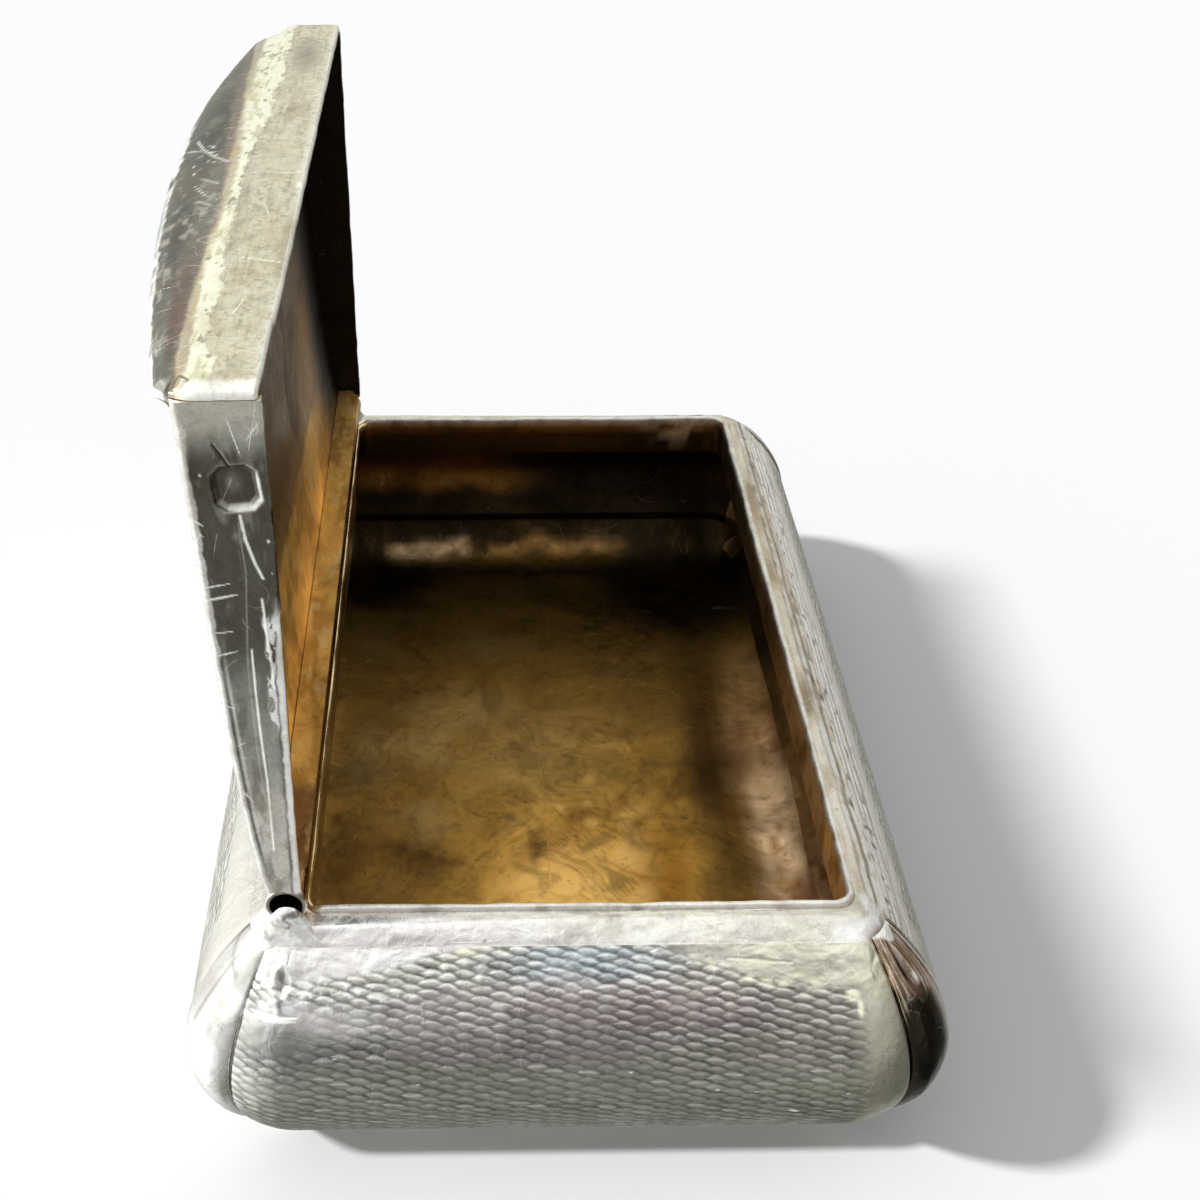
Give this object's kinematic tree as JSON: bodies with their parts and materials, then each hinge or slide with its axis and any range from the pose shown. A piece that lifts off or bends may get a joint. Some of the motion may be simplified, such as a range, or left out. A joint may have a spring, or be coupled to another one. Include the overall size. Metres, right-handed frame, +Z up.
{
  "type": "hinged snuff box",
  "caption": "Cushion-sided rectangular silver snuff box with a tube-hinged shallow lid, engine-turned panels, crescent thumbpiece and gilt interior.",
  "frame": {"origin": "middle of the flat underside, where the box rests", "axes": "+Z up, out of the mouth; +Y along the length of the box, parallel to the hinge; the hinge lies at -X"},
  "size_m": [0.0487, 0.072, 0.0537],
  "materials": {
    "plain_silver": "worn polished silver",
    "engine_turned_silver": "engine-turned silver",
    "silver_gilt": "worn gilding, stained"
  },
  "bodies": {
    "base": {"base_bottom_plate": "plain_silver", "base_near_end_panel": "engine_turned_silver", "base_far_end_panel": "engine_turned_silver", "base_front_panel": "engine_turned_silver", "base_hinge_side_panel": "engine_turned_silver", "corner_lobe_near_front": "plain_silver", "corner_lobe_far_front": "plain_silver", "corner_lobe_far_hinge": "plain_silver", "corner_lobe_near_hinge": "plain_silver", "mouth_ledge": "plain_silver", "mouth_bezel": "silver_gilt", "base_knuckle_near": "plain_silver", "base_knuckle_far": "plain_silver", "hinge_pin": "plain_silver", "hinge_cheek_near": "plain_silver", "hinge_cheek_far": "plain_silver"},
    "lid": {"lid_cover": "engine_turned_silver", "lid_front_wall": "plain_silver", "lid_near_end_wall": "plain_silver", "lid_far_end_wall": "plain_silver", "lid_hinge_rail": "silver_gilt", "lid_thumbpiece": "plain_silver", "lid_knuckle_near": "plain_silver", "lid_knuckle_middle": "plain_silver", "lid_knuckle_far": "plain_silver"}
  },
  "joints": [
    {"name": "lid_hinge", "type": "hinge", "parent": "base", "child": "lid", "pos_m": [-0.0174, 0, 0.01885], "axis": [0, -1, 0], "range_deg": [-90.5, 9]}
  ]
}
